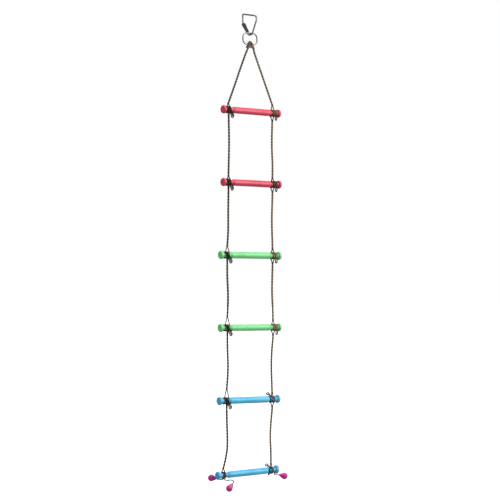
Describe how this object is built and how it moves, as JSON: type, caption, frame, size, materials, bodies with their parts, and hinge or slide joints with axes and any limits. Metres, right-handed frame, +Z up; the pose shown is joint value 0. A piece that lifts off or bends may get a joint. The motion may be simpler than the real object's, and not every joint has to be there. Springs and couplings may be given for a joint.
{
  "type": "rope ladder",
  "caption": "Hanging rope climbing ladder: coloured moulded rungs tied into a doubled cord that hangs from a steel ring and a snap hook with a sprung gate.",
  "frame": {"origin": "the bearing point: the underside of the hook's top bar, above the ring and the ladder's middle", "axes": "+Z up, X along the rungs, -Y the front, from which the slack bights of the ties are seen"},
  "size_m": [0.3638, 0.107, 1.9834],
  "materials": {
    "red_plastic": "satin moulded plastic",
    "green_plastic": "satin moulded plastic",
    "blue_plastic": "satin moulded plastic",
    "magenta_plastic": "satin moulded plastic",
    "rope": "laid cord",
    "steel": "zinc plated",
    "gate_steel": "dark coated"
  },
  "bodies": {
    "hook": {"hook_frame": "steel", "gate_rivet": "steel"},
    "gate": {"gate": "gate_steel", "gate_spring": "steel"},
    "ring": {"ring": "steel"},
    "bridle": {"ring_hitch": "rope", "left_bridle": "rope", "right_bridle": "rope", "left_hitch_1": "rope", "right_hitch_1": "rope", "rung_1": "red_plastic"},
    "section_2": {"left_rope_2": "rope", "right_rope_2": "rope", "left_hitch_2": "rope", "right_hitch_2": "rope", "rung_2": "red_plastic"},
    "section_3": {"left_rope_3": "rope", "right_rope_3": "rope", "left_hitch_3": "rope", "right_hitch_3": "rope", "rung_3": "green_plastic"},
    "section_4": {"left_rope_4": "rope", "right_rope_4": "rope", "left_hitch_4": "rope", "right_hitch_4": "rope", "rung_4": "green_plastic"},
    "section_5": {"left_rope_5": "rope", "right_rope_5": "rope", "left_hitch_5": "rope", "right_hitch_5": "rope", "rung_5": "blue_plastic"},
    "section_6": {"left_rope_6": "rope", "right_rope_6": "rope", "left_hitch_6": "rope", "right_hitch_6": "rope", "rung_6": "blue_plastic"},
    "left_front_end": {"left_front_tail": "rope", "left_front_stopper": "magenta_plastic"},
    "left_back_end": {"left_back_tail": "rope", "left_back_stopper": "magenta_plastic"},
    "right_front_end": {"right_front_tail": "rope", "right_front_stopper": "magenta_plastic"},
    "right_back_end": {"right_back_tail": "rope", "right_back_stopper": "magenta_plastic"}
  },
  "joints": [
    {"name": "gate_hinge", "type": "hinge", "parent": "hook", "child": "gate", "pos_m": [-0.00592, 0.01269, -0.064], "axis": [0.9063, 0.4226, 0], "range_deg": [0, 28], "stiffness_Nm_per_rad": 0.02, "springref_deg": -20.05},
    {"name": "ring_swing", "type": "hinge", "parent": "hook", "child": "ring", "pos_m": [0, 0, -0.081], "axis": [0.4226, -0.9063, 0], "range_deg": [-25, 25]},
    {"name": "bridle_swing", "type": "hinge", "parent": "ring", "child": "bridle", "pos_m": [0, 0, -0.12145], "axis": [1, 0, 0], "range_deg": [-60, 60]},
    {"name": "fold_2", "type": "hinge", "parent": "bridle", "child": "section_2", "pos_m": [0.006, 0, -0.445], "axis": [0.9997, 0.0262, 0], "range_deg": [-90, 90]},
    {"name": "fold_3", "type": "hinge", "parent": "section_2", "child": "section_3", "pos_m": [0.0055, 0, -0.745], "axis": [-1, -0.0087, 0], "range_deg": [-90, 90]},
    {"name": "fold_4", "type": "hinge", "parent": "section_3", "child": "section_4", "pos_m": [0.0005, 0, -1.045], "axis": [0.9986, -0.0523, 0], "range_deg": [-90, 90]},
    {"name": "fold_5", "type": "hinge", "parent": "section_4", "child": "section_5", "pos_m": [0.002, 0, -1.345], "axis": [-0.9981, 0.061, 0], "range_deg": [-90, 90]},
    {"name": "fold_6", "type": "hinge", "parent": "section_5", "child": "section_6", "pos_m": [-0.002, 0, -1.645], "axis": [0.9986, -0.0523, 0], "range_deg": [-90, 90]},
    {"name": "left_front_end_swing", "type": "hinge", "parent": "section_6", "child": "left_front_end", "pos_m": [-0.13929, -0.00591, -1.9234], "axis": [0.9986, -0.0523, 0], "range_deg": [-12, 12], "stiffness_Nm_per_rad": 1},
    {"name": "left_back_end_swing", "type": "hinge", "parent": "section_6", "child": "left_back_end", "pos_m": [-0.12597, 0.01903, -1.92298], "axis": [0.0523, 0.9986, 0], "range_deg": [-12, 12], "stiffness_Nm_per_rad": 1},
    {"name": "right_front_end_swing", "type": "hinge", "parent": "section_6", "child": "right_front_end", "pos_m": [0.11321, -0.01914, -1.91457], "axis": [0.0523, 0.9986, 0], "range_deg": [-12, 12], "stiffness_Nm_per_rad": 1},
    {"name": "right_back_end_swing", "type": "hinge", "parent": "section_6", "child": "right_back_end", "pos_m": [0.10257, 0.00705, -1.91498], "axis": [0.9986, -0.0523, 0], "range_deg": [-12, 12], "stiffness_Nm_per_rad": 1}
  ]
}
